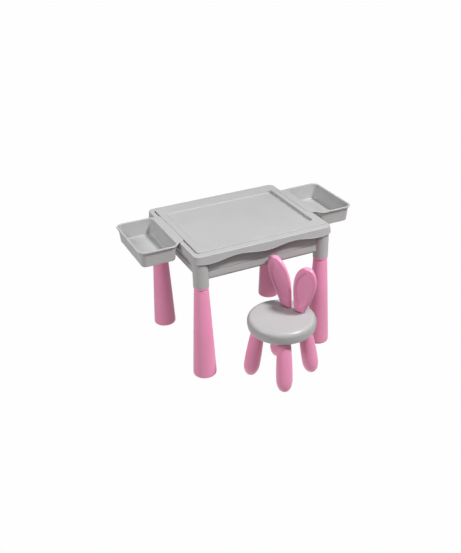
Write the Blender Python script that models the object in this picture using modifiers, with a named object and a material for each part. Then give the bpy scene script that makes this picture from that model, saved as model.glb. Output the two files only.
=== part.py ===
"""Children's activity table with two clip-on trays, and a stool with a two-ear back.

The table is a rim with a lift-out board over an open storage box, on four posts and four
conical legs. The stool is a round seat on four splayed legs. Metres, +Z up, floor at z = 0.
"""
import math

import bmesh
import bpy
from mathutils import Matrix, Vector

GAP = 0.0003            # clearance between pieces that touch
WALL = 0.003            # usual plastic wall
PAST = 0.01             # how far a cutter reaches past the face that it opens
CORNER_STEPS = 5        # segments in each rounded corner of an outline
TURN_STEPS = 24         # segments around the posts and legs
SEAT_STEPS = 40         # segments around the seat

# Table top: the rim and the board that lies in it
TABLE_HEIGHT = 0.500    # top of the board
TABLE_WIDTH = 0.546     # along X
TABLE_DEPTH = 0.464     # along Y
TOP_CORNER = 0.022
RIM_STEP = 0.0025       # the rim lies this much below the board
RIM_THICK = 0.003
RIM_LEFT = 0.017        # rim widths, from the outer edge to the board's bay
RIM_RIGHT = 0.010
RIM_FRONT = 0.028
RIM_BACK = 0.020
SKIRT_WALL = 0.0035
SKIRT_FLARE = 0.003     # the skirt leans out by this much at its lower edge
SKIRT_MEAN = 0.0297     # depth of the skirt below the board's top, and of its wave
SKIRT_WAVE = 0.0057
WAVE_LENGTH = 0.4 * TABLE_WIDTH
EDGE_ROUND = 0.0025
BOARD_THICK = 0.014
BOARD_SLACK = 0.0005    # free space around the board in its bay
BOARD_ROUND = 0.0015
LEDGE_WIDTH = 0.010
BAY_CORNER = 0.012

# Board features
TRAY_SLOT = 0.005       # free slot beside the board that takes a tray's hook
RECESS_LOW = (-0.227, -0.156)
RECESS_HIGH = (0.217, 0.156)
RECESS_DEEP = 0.0025
RECESS_SLOPE = 0.003    # the recess is this much smaller on every side at its floor
RECESS_CORNER = 0.018
GROOVE_LOW = (0.2165, -0.158)
GROOVE_HIGH = (0.236, 0.163)
GROOVE_DEEP = 0.009
GROOVE_CORNER = 0.007
GROOVE_ROUND = (0.002, 0.003)
NOTCH_SLACK = 0.004     # free length at each end of a tray's flange
NOTCH_CORNER = 0.003
PLATE_THICK = 0.0035
POCKET_CORNER = 0.008

# Storage box under the board
BOX_HALF_X = 0.2535
BOX_HALF_Y = 0.2140
BOX_BOTTOM = 0.394
BOX_CORNER = 0.012
BOX_FOOT_ROUND = (0.003, 0.002)
BOX_FOOT_BEAD = 0.006   # height of the bead along the lower edge
BOX_BAND = 0.030        # height of the lower band, which stands proud of the wall above it
BOX_BAND_IN = 0.0007    # how far the band and the wall above it lie behind the bead
BOX_WALL_IN = 0.0022

# Corner posts and conical legs
POST_X = 0.2440
POST_Y = 0.2030
POST_RADIUS = 0.0282
POST_BOTTOM = 0.3707
POST_TOP = 0.468
POST_ROUND = 0.008
SPIGOT_RADIUS = 0.0245
SPIGOT_TOP = 0.450
SPIGOT_ROUND = 0.002
BORE_SLACK = (0.0004, 0.0015)   # free space around a spigot and above it
COLLAR_HIGH = 0.0045
COLLAR_ROUND = 0.001
NECK_HIGH = 0.0035      # narrow groove between the collar and the cone
NECK_IN = 0.0014
CONE_TOP_RADIUS = 0.0262
CONE_FOOT_RADIUS = 0.0436
CONE_ROUND = (0.0006, 0.004)
CAP_HIGH = 0.0072
CAP_PLUG = (0.0012, 0.009)      # slack of the cap's plug in the cone, and its height

# Clip-on trays
TRAY_WIDTH = 0.1515     # along X, from the rim next to the table to the far rim
TRAY_FRONT = -0.118
TRAY_BACK = 0.1547
TRAY_DEEP = 0.064
TRAY_TAPER = 0.0125
TRAY_CORNER = 0.029
TRAY_WALL = 0.0025
TRAY_LIP = 0.006        # overhang of the rolled lip
TRAY_LIP_DEEP = 0.0065
TRAY_LIP_ROUND = 0.0015
# (inset, height) of the points round the tray's base edge
TRAY_BASE_EDGE = ((0.007, 0.0), (0.0025, 0.0025), (0.001, 0.007))
FLANGE_WIDTH = 0.0285   # from the hook's edge to the tray's rim
FLANGE_THICK = 0.0022
FLANGE_FRONT = -0.078
FLANGE_BACK = 0.144
FLANGE_OVERLAP = 0.004   # how far the flange runs into the tray's lip
FLARE_FRONT = 0.016     # where the flange's flared ends meet the tray's rim
FLARE_BACK = 0.003
HOOK_THICK = 0.003
HOOK_DEEP = 0.0125
HOOK_CORNER = 0.001
HOOK_INSET = 0.006      # the hook is this much shorter than the flange at each end

# Stool, in its own frame: +X points from the seat's middle to the ears
STOOL_X = 0.0065
STOOL_Y = -0.3345
STOOL_TURN = math.radians(22.0)
SEAT_TOP = 0.248
SEAT_BOTTOM = 0.201
SEAT_RADIUS = 0.1245
SEAT_FLAT = 0.108       # radius of the flat middle of the seat
SEAT_WIDEST = 0.229     # height of the widest part of the rim
SEAT_FOOT_RADIUS = 0.1175
STOOL_FOOT_RING = 0.115
STOOL_TOP_RING = 0.083
STOOL_LEG_RADIUS = 0.0295
STOOL_NECK_RADIUS = 0.0235
STOOL_BELLY = 0.050     # height of the thickest part of a leg
SHOULDER_RISE = 0.012
FOOT_FLAT = 0.0015      # cut off the round end of a leg by the floor
SOCKET_DEEP = 0.018
SOCKET_WALL = 0.0035
EAR_RING = 0.0655
EAR_SPACING = 0.0295    # half the distance between the two ears' feet
EAR_SPREAD = 0.0445     # how far each tip lies outside its foot
EAR_LEAN = -0.0165      # how far each tip lies towards the sitter
EAR_HIGH = 0.197
EAR_FOOT_WIDE = 0.0235  # half widths
EAR_WIDE = 0.0465
EAR_WIDEST = 0.62       # where the ear is widest, as a fraction of its height
EAR_THICK = 0.021
EAR_DISH = 0.0075
EAR_THIN_FROM = 0.016    # half width below which the ear also gets thinner
EAR_TIP_WIDE = 0.004     # half width of the flat that closes the tip
EAR_TOP = 0.9995         # height of that flat, as a fraction of the ear's height
DISH_WIDE = 0.80         # the dish, as fractions of the half width and the height
DISH_HIGH = 0.42
DISH_MIDDLE = 0.52
EAR_RECESS = 0.001      # the ears' feet stand this deep in the seat
EAR_RECESS_SLACK = 0.001
TONGUE_WIDE = 0.030
TONGUE_THICK = 0.012
TONGUE_DEEP = 0.020
TONGUE_CORNER = 0.003
TONGUE_REACH = 0.006     # how far the tongue runs up into its ear

GREY = (0.42, 0.42, 0.42)
PINK = (0.85, 0.305, 0.505)

RIM_TOP = TABLE_HEIGHT - RIM_STEP
LEDGE_TOP = TABLE_HEIGHT - BOARD_THICK - GAP
BAY_LOW = (-TABLE_WIDTH / 2 + RIM_LEFT, -TABLE_DEPTH / 2 + RIM_FRONT)
BAY_HIGH = (TABLE_WIDTH / 2 - RIM_RIGHT, TABLE_DEPTH / 2 - RIM_BACK)


def clear_scene():
    for thing in list(bpy.data.objects):
        bpy.data.objects.remove(thing, do_unlink=True)


def new_collection(name):
    collection = bpy.data.collections.new(name)
    bpy.context.scene.collection.children.link(collection)
    return collection


def plastic(name, colour):
    material = bpy.data.materials.new(name)
    material.use_nodes = True
    shader = material.node_tree.nodes["Principled BSDF"]
    shader.inputs["Base Color"].default_value = (*colour, 1.0)
    shader.inputs["Roughness"].default_value = 0.42
    shader.inputs["Metallic"].default_value = 0.0
    return material


def add_object(name, mesh, parent, colour=None):
    """Link a mesh as a part with its own plastic, or as a hidden cutter."""
    thing = bpy.data.objects.new(name, mesh)
    thing.parent = parent
    if colour is None:
        CUTTERS.objects.link(thing)
        thing.hide_render = True
        thing.display_type = "WIRE"
    else:
        PARTS.objects.link(thing)
        mesh.materials.append(plastic(name + "_plastic", colour))
    return thing


def rounded_outline(low, high, radius, z, inset=0.0):
    """Corner arcs of a rectangle, anticlockwise, as points at height z."""
    radius = max(radius - inset, 0.0008)
    left, front = low[0] + inset + radius, low[1] + inset + radius
    right, back = high[0] - inset - radius, high[1] - inset - radius
    centres = ((right, back), (left, back), (left, front), (right, front))
    points = []
    for quarter, (x, y) in enumerate(centres):
        for step in range(CORNER_STEPS + 1):
            angle = math.radians(90.0 * (quarter + step / CORNER_STEPS))
            points.append(Vector((x + radius * math.cos(angle), y + radius * math.sin(angle), z)))
    return points


def loft(name, rings):
    """Closed mesh through rings of equal length, capped at the first and the last."""
    bm = bmesh.new()
    loops = [[bm.verts.new(point) for point in ring] for ring in rings]
    count = len(loops[0])
    for lower, upper in zip(loops, loops[1:]):
        for i in range(count):
            j = (i + 1) % count
            bm.faces.new((lower[i], lower[j], upper[j], upper[i]))
    bm.faces.new(reversed(loops[0]))
    bm.faces.new(loops[-1])
    bmesh.ops.recalc_face_normals(bm, faces=bm.faces)
    mesh = bpy.data.meshes.new(name)
    bm.to_mesh(mesh)
    bm.free()
    return mesh


def rounded_block(name, low, high, radius, levels):
    """Loft of one rounded rectangle through (inset, height) levels."""
    return loft(name, [rounded_outline(low, high, radius, z, inset) for inset, z in levels])


def box_cutter(name, low, high, radius, bottom, top, parent):
    mesh = rounded_block(name, low, high, radius, [(0.0, bottom), (0.0, top)])
    return add_object(name, mesh, parent)


def rod_mesh(name, radius, bottom, top, segments=TURN_STEPS):
    bm = bmesh.new()
    bmesh.ops.create_cone(bm, cap_ends=True, segments=segments, radius1=radius, radius2=radius,
                          depth=top - bottom)
    bmesh.ops.translate(bm, verts=bm.verts, vec=(0.0, 0.0, (top + bottom) / 2))
    mesh = bpy.data.meshes.new(name)
    bm.to_mesh(mesh)
    bm.free()
    return mesh


def turned(name, profile, parent, colour, segments=TURN_STEPS):
    """Solid of revolution from (radius, height) points that run down the outer side."""
    mesh = bpy.data.meshes.new(name)
    points = [(radius, 0.0, z) for radius, z in profile]
    edges = [(i, i + 1) for i in range(len(points) - 1)]
    mesh.from_pydata(points, edges, [])
    thing = add_object(name, mesh, parent, colour)
    screw = thing.modifiers.new("turn", "SCREW")
    screw.steps = segments
    screw.render_steps = segments
    screw.use_merge_vertices = True
    screw.merge_threshold = 0.00001
    return thing


def combine(target, tool, operation):
    modifier = target.modifiers.new(tool.name, "BOOLEAN")
    modifier.operation = operation
    modifier.solver = "EXACT"
    modifier.object = tool


def cut(target, tool):
    combine(target, tool, "DIFFERENCE")


def join(target, tool):
    combine(target, tool, "UNION")


def arc(radius_in, radius_up, steps):
    """(inward, upward) offsets along a quarter ellipse that turns from upright to level."""
    angles = [0.5 * math.pi * i / steps for i in range(steps + 1)]
    return [(radius_in * (1 - math.cos(a)), radius_up * math.sin(a)) for a in angles]


def skirt_depth(x):
    return SKIRT_MEAN + SKIRT_WAVE * math.cos(2 * math.pi * x / WAVE_LENGTH)


def corner_posts():
    """The (x, y) place of each post, keyed by its corner's name."""
    return {
        "front_left": (-POST_X, -POST_Y),
        "front_right": (POST_X, -POST_Y),
        "back_left": (-POST_X, POST_Y),
        "back_right": (POST_X, POST_Y),
    }


def make_top_frame(table):
    low = (-TABLE_WIDTH / 2, -TABLE_DEPTH / 2)
    high = (TABLE_WIDTH / 2, TABLE_DEPTH / 2)
    bottom = TABLE_HEIGHT - SKIRT_MEAN - SKIRT_WAVE
    edge = [(inward, RIM_TOP - EDGE_ROUND + up) for inward, up in arc(EDGE_ROUND, EDGE_ROUND, 3)]
    mesh = rounded_block("top_frame", low, high, TOP_CORNER, [(-SKIRT_FLARE, bottom)] + edge)
    frame = add_object("top_frame", mesh, table, GREY)

    hollow_levels = [(SKIRT_WALL - SKIRT_FLARE, bottom - PAST / 10),
                     (SKIRT_WALL, RIM_TOP - RIM_THICK)]
    mesh = rounded_block("frame_hollow", low, high, TOP_CORNER, hollow_levels)
    hollow = add_object("frame_hollow", mesh, table)
    shell_low = (BAY_LOW[0] - RIM_THICK, BAY_LOW[1] - RIM_THICK)
    shell_high = (BAY_HIGH[0] + RIM_THICK, BAY_HIGH[1] + RIM_THICK)
    cut(hollow, box_cutter("bay_shell", shell_low, shell_high, BAY_CORNER + RIM_THICK,
                           LEDGE_TOP - RIM_THICK, TABLE_HEIGHT, table))
    cut(frame, hollow)
    cut(frame, box_cutter("board_bay", BAY_LOW, BAY_HIGH, BAY_CORNER, LEDGE_TOP,
                          TABLE_HEIGHT + PAST, table))
    open_low = (BAY_LOW[0] + LEDGE_WIDTH, BAY_LOW[1] + LEDGE_WIDTH)
    open_high = (BAY_HIGH[0] - LEDGE_WIDTH, BAY_HIGH[1] - LEDGE_WIDTH)
    cut(frame, box_cutter("frame_opening", open_low, open_high, BAY_CORNER, LEDGE_TOP - PAST,
                          TABLE_HEIGHT, table))
    cut(frame, make_wave_cutter(table, bottom))


def make_wave_cutter(table, bottom):
    """Everything below the skirt's wavy lower edge, right through from front to back."""
    reach_x = TABLE_WIDTH / 2 + 2 * PAST
    reach_y = TABLE_DEPTH / 2 + 2 * PAST
    steps = 60
    crest = []
    for step in range(steps + 1):
        x = -reach_x + 2 * reach_x * step / steps
        crest.append((x, TABLE_HEIGHT - skirt_depth(x)))
    section = [(-reach_x, bottom - PAST)] + crest + [(reach_x, bottom - PAST)]
    rings = [[Vector((x, y, z)) for x, z in section] for y in (-reach_y, reach_y)]
    return add_object("skirt_wave", loft("skirt_wave", rings), table)


def make_board(table):
    bottom = TABLE_HEIGHT - BOARD_THICK
    low = (BAY_LOW[0] + TRAY_SLOT, BAY_LOW[1] + BOARD_SLACK)
    high = (BAY_HIGH[0] - BOARD_SLACK, BAY_HIGH[1] - BOARD_SLACK)
    rounding = arc(BOARD_ROUND, BOARD_ROUND, 2)
    edge = [(inward, TABLE_HEIGHT - BOARD_ROUND + up) for inward, up in rounding]
    mesh = rounded_block("tabletop_board", low, high, BAY_CORNER, [(0.0, bottom)] + edge)
    board = add_object("tabletop_board", mesh, table, GREY)

    recess_levels = [(RECESS_SLOPE, TABLE_HEIGHT - RECESS_DEEP), (0.0, TABLE_HEIGHT),
                     (0.0, TABLE_HEIGHT + PAST)]
    mesh = rounded_block("board_recess", RECESS_LOW, RECESS_HIGH, RECESS_CORNER, recess_levels)
    cut(board, add_object("board_recess", mesh, table))
    groove_floor = TABLE_HEIGHT - GROOVE_DEEP
    groove_levels = [(GROOVE_ROUND[0], groove_floor), (0.0, groove_floor + GROOVE_ROUND[1]),
                     (0.0, TABLE_HEIGHT + PAST)]
    mesh = rounded_block("pen_groove", GROOVE_LOW, GROOVE_HIGH, GROOVE_CORNER, groove_levels)
    cut(board, add_object("pen_groove", mesh, table))
    notch_x = high[0] - TRAY_SLOT
    cut(board, box_cutter("hook_notch", (notch_x, FLANGE_FRONT - NOTCH_SLACK),
                          (high[0] + PAST, FLANGE_BACK + NOTCH_SLACK), NOTCH_CORNER, bottom - PAST,
                          TABLE_HEIGHT + PAST, table))
    cut_board_pockets(board, table, low, high, bottom)


def cut_board_pockets(board, table, low, high, bottom):
    """Moulded pockets in the underside that leave an edge wall and two crossing ribs."""
    ceiling = TABLE_HEIGHT - RECESS_DEEP - PLATE_THICK
    left, right = low[0] + WALL, GROOVE_LOW[0] - WALL
    front, back = low[1] + WALL, high[1] - WALL
    middle_x, middle_y = (left + right) / 2, (front + back) / 2
    for across, (x0, x1) in enumerate(((left, middle_x - WALL / 2), (middle_x + WALL / 2, right))):
        for along, (y0, y1) in enumerate(((front, middle_y - WALL / 2), (middle_y + WALL / 2, back))):
            name = "board_pocket_{}_{}".format(across + 1, along + 1)
            cut(board, box_cutter(name, (x0, y0), (x1, y1), POCKET_CORNER, bottom - PAST, ceiling,
                                  table))


def make_storage_box(table):
    low = (-BOX_HALF_X, -BOX_HALF_Y)
    high = (BOX_HALF_X, BOX_HALF_Y)
    top = RIM_TOP - RIM_THICK - GAP
    band_top = BOX_BOTTOM + BOX_BAND
    levels = [(BOX_FOOT_ROUND[0], BOX_BOTTOM), (0.0, BOX_BOTTOM + BOX_FOOT_ROUND[1]),
              (0.0, BOX_BOTTOM + BOX_FOOT_BEAD), (BOX_BAND_IN, BOX_BOTTOM + BOX_FOOT_BEAD + 0.0005),
              (BOX_BAND_IN, band_top), (BOX_WALL_IN, band_top + 0.001), (BOX_WALL_IN, top)]
    mesh = rounded_block("storage_box", low, high, BOX_CORNER, levels)
    box = add_object("storage_box", mesh, table, GREY)

    wall = WALL + BOX_WALL_IN
    inner_low = (low[0] + wall, low[1] + wall)
    inner_high = (high[0] - wall, high[1] - wall)
    cavity = box_cutter("box_cavity", inner_low, inner_high, BOX_CORNER - BOX_WALL_IN,
                        BOX_BOTTOM + WALL, top + PAST, table)
    for corner, (x, y) in corner_posts().items():
        name = "post_wall_" + corner
        wall_rod = add_object(name, rod_mesh(name, POST_RADIUS + GAP + WALL, BOX_BOTTOM - PAST,
                                             top + 2 * PAST), table)
        wall_rod.location = (x, y, 0.0)
        cut(cavity, wall_rod)
    cut(box, cavity)
    for corner, (x, y) in corner_posts().items():
        name = "post_space_" + corner
        post_rod = add_object(name, rod_mesh(name, POST_RADIUS + GAP, BOX_BOTTOM - 2 * PAST,
                                             top + 3 * PAST), table)
        post_rod.location = (x, y, 0.0)
        cut(box, post_rod)
    lip_low = (BAY_LOW[0] - RIM_THICK - GAP, BAY_LOW[1] - RIM_THICK - GAP)
    lip_high = (BAY_HIGH[0] + RIM_THICK + GAP, BAY_HIGH[1] + RIM_THICK + GAP)
    cut(box, box_cutter("ledge_space", lip_low, lip_high, BAY_CORNER + RIM_THICK + GAP,
                        LEDGE_TOP - RIM_THICK - GAP, TABLE_HEIGHT, table))


def make_corner_post(corner, x, y, table):
    rounding = arc(POST_ROUND, POST_ROUND, 4)
    shoulder = [(POST_RADIUS - inward, POST_TOP - POST_ROUND + up) for inward, up in reversed(rounding)]
    bore = SPIGOT_RADIUS + BORE_SLACK[0]
    bore_top = SPIGOT_TOP + BORE_SLACK[1]
    profile = [(0.0, POST_TOP)] + shoulder
    profile += [(POST_RADIUS, POST_BOTTOM + COLLAR_ROUND), (POST_RADIUS - COLLAR_ROUND, POST_BOTTOM)]
    profile += [(bore, POST_BOTTOM), (bore, bore_top), (0.0, bore_top)]
    post = turned("corner_post_" + corner, profile, table, GREY)
    post.location = (x, y, 0.0)


def make_table_leg(corner, x, y, table):
    """Hollow conical leg, open below, with a collar and a spigot for the post's bore."""
    collar_radius = POST_RADIUS - 0.0004
    collar_top = POST_BOTTOM - GAP
    collar_bottom = collar_top - COLLAR_HIGH
    neck_radius = CONE_TOP_RADIUS - NECK_IN
    cone_top = collar_bottom - NECK_HIGH
    foot = CAP_HIGH + GAP
    profile = [(0.0, SPIGOT_TOP), (SPIGOT_RADIUS - SPIGOT_ROUND, SPIGOT_TOP),
               (SPIGOT_RADIUS, SPIGOT_TOP - SPIGOT_ROUND), (SPIGOT_RADIUS, collar_top),
               (collar_radius - COLLAR_ROUND, collar_top), (collar_radius, collar_top - COLLAR_ROUND),
               (collar_radius, collar_bottom + COLLAR_ROUND), (neck_radius, collar_bottom),
               (neck_radius, cone_top + COLLAR_ROUND), (CONE_TOP_RADIUS, cone_top)]
    profile += [(CONE_FOOT_RADIUS, foot + CONE_ROUND[1]), (CONE_FOOT_RADIUS - CONE_ROUND[0], foot)]
    profile += [(CONE_FOOT_RADIUS - WALL, foot), (CONE_TOP_RADIUS - WALL, cone_top),
                (SPIGOT_RADIUS - WALL, collar_top), (SPIGOT_RADIUS - WALL, SPIGOT_TOP - WALL),
                (0.0, SPIGOT_TOP - WALL)]
    leg = turned("table_leg_" + corner, profile, table, PINK)
    leg.location = (x, y, 0.0)


def make_foot_cap(corner, x, y, table):
    """Cap that closes a leg's foot, with a plug inside the cone and a rounded lower edge."""
    radius = CONE_FOOT_RADIUS - CONE_ROUND[0]
    plug = CONE_FOOT_RADIUS - WALL - CAP_PLUG[0]
    plug_top = CAP_HIGH + CAP_PLUG[1]
    profile = [(0.0, plug_top), (plug - COLLAR_ROUND, plug_top), (plug, plug_top - COLLAR_ROUND),
               (plug, CAP_HIGH), (radius, CAP_HIGH)]
    rounding = arc(0.004, 0.004, 3)
    profile += [(radius - inward, 0.004 - down) for inward, down in rounding]
    profile.append((0.0, 0.0))
    cap = turned("foot_cap_" + corner, profile, table, PINK)
    cap.location = (x, y, 0.0)


def make_tray(name, hook_x, side, table):
    """Tray that hangs from the rim; side is -1 for the left one and +1 for the right one."""
    near = hook_x + side * FLANGE_WIDTH
    far = near + side * TRAY_WIDTH
    low = (min(near, far), TRAY_FRONT)
    high = (max(near, far), TRAY_BACK)
    bottom = TABLE_HEIGHT - TRAY_DEEP
    lip_bottom = TABLE_HEIGHT - TRAY_LIP_DEEP
    outside = [(TRAY_TAPER + inset, bottom + up) for inset, up in TRAY_BASE_EDGE]
    outside.append((TRAY_LIP, lip_bottom))
    lip_round_over = TRAY_LIP_ROUND * 4 / 3
    lip = [(0.4 * TRAY_LIP_ROUND, lip_bottom), (0.0, lip_bottom + TRAY_LIP_ROUND),
           (TRAY_LIP_ROUND / 4, TABLE_HEIGHT - TRAY_LIP_ROUND),
           (lip_round_over, TABLE_HEIGHT), (TRAY_LIP, TABLE_HEIGHT)]
    inside = [(TRAY_LIP + TRAY_WALL, TABLE_HEIGHT - lip_round_over)]
    for inset, z in reversed(outside[:3]):
        inside.append((inset + TRAY_WALL, z + TRAY_WALL))
    mesh = rounded_block(name, low, high, TRAY_CORNER, outside + lip + inside)
    tray = add_object(name, mesh, table, GREY)
    join(tray, make_flange(name + "_flange", hook_x, near, side, table))
    hook_far = hook_x + side * HOOK_THICK
    hook_low = (min(hook_x, hook_far), FLANGE_FRONT + HOOK_INSET)
    hook_high = (max(hook_x, hook_far), FLANGE_BACK - HOOK_INSET)
    join(tray, box_cutter(name + "_hook", hook_low, hook_high, HOOK_CORNER, TABLE_HEIGHT - HOOK_DEEP,
                          TABLE_HEIGHT - FLANGE_THICK / 2, table))


def make_flange(name, hook_x, near, side, table):
    """Flat flange from the hook to the tray's lip, flaring out into the tray's corners."""
    steps = 6
    reach = near + side * FLANGE_OVERLAP
    flare_front = TRAY_FRONT + FLARE_FRONT
    flare_back = TRAY_BACK - FLARE_BACK
    front_edge = []
    back_edge = []
    for step in range(steps + 1):
        t = step / steps
        x = hook_x + (reach - hook_x) * t
        front_edge.append((x, FLANGE_FRONT + (flare_front - FLANGE_FRONT) * t * t))
        back_edge.append((x, FLANGE_BACK + (flare_back - FLANGE_BACK) * t * t))
    section = front_edge + list(reversed(back_edge))
    rings = [[Vector((x, y, z)) for x, y in section]
             for z in (TABLE_HEIGHT - FLANGE_THICK, TABLE_HEIGHT)]
    return add_object(name, loft(name, rings), table)


def seat_rim(inset, over_steps, under_steps):
    """Rim curve of the seat, as (radius, height) from its flat top down to its foot."""
    widest = SEAT_RADIUS - inset
    over = arc(widest - SEAT_FLAT, SEAT_TOP - inset - SEAT_WIDEST, over_steps)
    under = arc(SEAT_RADIUS - SEAT_FOOT_RADIUS, SEAT_WIDEST - SEAT_BOTTOM, under_steps)
    points = [(widest - inward, SEAT_WIDEST + up) for inward, up in reversed(over)]
    points += [(widest - inward, SEAT_WIDEST - up) for inward, up in under[1:]]
    return points


def make_seat_top(stool):
    outer = seat_rim(0.0, 6, 2)
    inner = list(reversed(seat_rim(WALL, 3, 1)))
    profile = [(0.0, SEAT_TOP)] + outer + inner + [(0.0, SEAT_TOP - WALL)]
    seat = turned("seat_top", profile, stool, GREY, segments=SEAT_STEPS)
    for index, side in enumerate((-1, 1)):
        y = side * EAR_SPACING
        half_x = TONGUE_THICK / 2 + GAP
        half_y = TONGUE_WIDE / 2 + GAP
        cut(seat, box_cutter("ear_slot_{}".format(index + 1), (EAR_RING - half_x, y - half_y),
                             (EAR_RING + half_x, y + half_y), TONGUE_CORNER, SEAT_BOTTOM,
                             SEAT_TOP + PAST, stool))
        half_x = EAR_THICK / 2 + EAR_RECESS_SLACK
        half_y = EAR_FOOT_WIDE + EAR_RECESS_SLACK
        cut(seat, box_cutter("ear_recess_{}".format(index + 1), (EAR_RING - half_x, y - half_y),
                             (EAR_RING + half_x, y + half_y), 0.006, SEAT_TOP - EAR_RECESS,
                             SEAT_TOP + 2 * PAST, stool))


def stool_leg_pose(angle):
    """Placement that stands a leg on the floor ring and leans it in to the seat ring."""
    rise = SEAT_BOTTOM
    lean = math.atan2(STOOL_FOOT_RING - STOOL_TOP_RING, rise)
    turn = Matrix.Rotation(angle, 4, "Z")
    return turn @ Matrix.Translation((STOOL_FOOT_RING, 0.0, 0.0)) @ Matrix.Rotation(-lean, 4, "Y")


def make_seat_base(stool, angles):
    """Round underside cover with four leaning sockets for the legs."""
    radius = SEAT_FOOT_RADIUS - WALL - 0.0012
    reach = STOOL_NECK_RADIUS + SOCKET_WALL
    profile = [(0.0, SEAT_BOTTOM + WALL), (radius, SEAT_BOTTOM + WALL), (radius, SEAT_BOTTOM),
               (0.0, SEAT_BOTTOM)]
    base = turned("seat_base", profile, stool, GREY, segments=SEAT_STEPS)
    cups = []
    for index, angle in enumerate(angles):
        name = "socket_cup_{}".format(index + 1)
        cup = add_object(name, rod_mesh(name, reach, SEAT_BOTTOM - 0.002,
                                        SEAT_BOTTOM + SOCKET_DEEP + WALL), stool)
        cup.matrix_local = stool_leg_pose(angle)
        join(base, cup)
        name = "socket_bore_{}".format(index + 1)
        bore = add_object(name, rod_mesh(name, STOOL_NECK_RADIUS + GAP, SEAT_BOTTOM - 2 * PAST,
                                         SEAT_BOTTOM + SOCKET_DEEP), stool)
        bore.matrix_local = stool_leg_pose(angle)
        cups.append(bore)
    trim = box_cutter("base_trim", (-SEAT_RADIUS, -SEAT_RADIUS), (SEAT_RADIUS, SEAT_RADIUS), 0.01,
                      SEAT_BOTTOM - 3 * PAST, SEAT_BOTTOM, stool)
    cut(base, trim)
    for bore in cups:
        cut(base, bore)


def make_stool_leg(index, angle, stool):
    """Bulbous leg: a round foot, a full belly and a narrower neck in its socket."""
    top = SEAT_BOTTOM + SOCKET_DEEP - 0.002
    neck = SEAT_BOTTOM - 0.004
    shoulder = STOOL_BELLY + SHOULDER_RISE
    profile = [(0.0, top), (STOOL_NECK_RADIUS - 0.0015, top), (STOOL_NECK_RADIUS, top - 0.0015),
               (STOOL_NECK_RADIUS, neck)]
    steps = 5
    for step in range(1, steps + 1):
        t = step / steps
        swell = math.sin(0.5 * math.pi * t) ** 1.2
        radius = STOOL_NECK_RADIUS + (STOOL_LEG_RADIUS - STOOL_NECK_RADIUS) * swell
        profile.append((radius, neck + (shoulder - neck) * t))
    drop = STOOL_BELLY + FOOT_FLAT
    for step in range(1, steps):
        angle_down = 0.5 * math.pi * step / steps
        profile.append((STOOL_LEG_RADIUS * math.cos(angle_down) ** 0.8,
                        STOOL_BELLY - drop * math.sin(angle_down)))
    profile.append((0.0, -FOOT_FLAT))
    leg = turned("stool_leg_{}".format(index + 1), profile, stool, PINK)
    leg.matrix_local = stool_leg_pose(angle)
    name = "floor_cut_{}".format(index + 1)
    reach = STOOL_FOOT_RING + 2 * STOOL_LEG_RADIUS
    cut(leg, box_cutter(name, (-reach, -reach), (reach, reach), PAST, -3 * PAST, 0.0, stool))


def ear_half_width(t):
    """Half width at fraction t of the ear's height: narrow foot, full middle, round tip."""
    if t <= EAR_WIDEST:
        swell = math.sin(0.5 * math.pi * t / EAR_WIDEST) ** 1.3
        return EAR_FOOT_WIDE + (EAR_WIDE - EAR_FOOT_WIDE) * swell
    return EAR_WIDE * math.sqrt(max(1.0 - ((t - EAR_WIDEST) / (1.0 - EAR_WIDEST)) ** 2.2, 0.0))


def ear_section(t, side, points=26):
    """Horizontal slice of an ear: round edges and a dished face towards the sitter."""
    half = max(ear_half_width(t), EAR_TIP_WIDE)
    thick = EAR_THICK * min(1.0, (half / EAR_THIN_FROM) ** 0.5)
    middle = side * (EAR_SPACING + EAR_SPREAD * t)
    foot = SEAT_TOP - EAR_RECESS + GAP
    ring = []
    for step in range(points):
        angle = 2 * math.pi * step / points
        across = math.copysign(abs(math.cos(angle)) ** 0.85, math.cos(angle))
        through = math.copysign(abs(math.sin(angle)) ** 0.75, math.sin(angle))
        reach = (across / DISH_WIDE) ** 2 + ((t - DISH_MIDDLE) / DISH_HIGH) ** 2
        dish = EAR_DISH * (1.0 - reach) ** 1.5 if through < 0 and reach < 1.0 else 0.0
        ring.append(Vector((EAR_RING + EAR_LEAN * t + through * thick / 2 + dish,
                            middle + side * across * half, foot + EAR_HIGH * t)))
    return ring


def make_ear(name, side, stool):
    steps = 15
    heights = [math.sin(0.5 * math.pi * step / steps) for step in range(steps)] + [EAR_TOP]
    mesh = loft(name, [ear_section(t, side) for t in heights])
    ear = add_object(name, mesh, stool, PINK)
    y = side * EAR_SPACING
    low = (EAR_RING - TONGUE_THICK / 2, y - TONGUE_WIDE / 2)
    high = (EAR_RING + TONGUE_THICK / 2, y + TONGUE_WIDE / 2)
    join(ear, box_cutter(name + "_tongue", low, high, TONGUE_CORNER, SEAT_TOP - TONGUE_DEEP,
                         SEAT_TOP + TONGUE_REACH, stool))


def make_table():
    table = bpy.data.objects.new("table", None)
    PARTS.objects.link(table)
    make_top_frame(table)
    make_board(table)
    make_storage_box(table)
    for corner, (x, y) in corner_posts().items():
        make_corner_post(corner, x, y, table)
        make_table_leg(corner, x, y, table)
        make_foot_cap(corner, x, y, table)
    make_tray("tray_left", BAY_LOW[0] + TRAY_SLOT - BOARD_SLACK, -1, table)
    make_tray("tray_right", BAY_HIGH[0] - TRAY_SLOT, 1, table)
    return table


def make_stool():
    stool = bpy.data.objects.new("stool", None)
    PARTS.objects.link(stool)
    angles = [math.radians(45.0 + 90.0 * quarter) for quarter in range(4)]
    make_seat_top(stool)
    make_seat_base(stool, angles)
    for index, angle in enumerate(angles):
        make_stool_leg(index, angle, stool)
    make_ear("ear_left", 1, stool)
    make_ear("ear_right", -1, stool)
    stool.location = (STOOL_X, STOOL_Y, 0.0)
    stool.rotation_euler = (0.0, 0.0, STOOL_TURN)
    return stool


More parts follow.
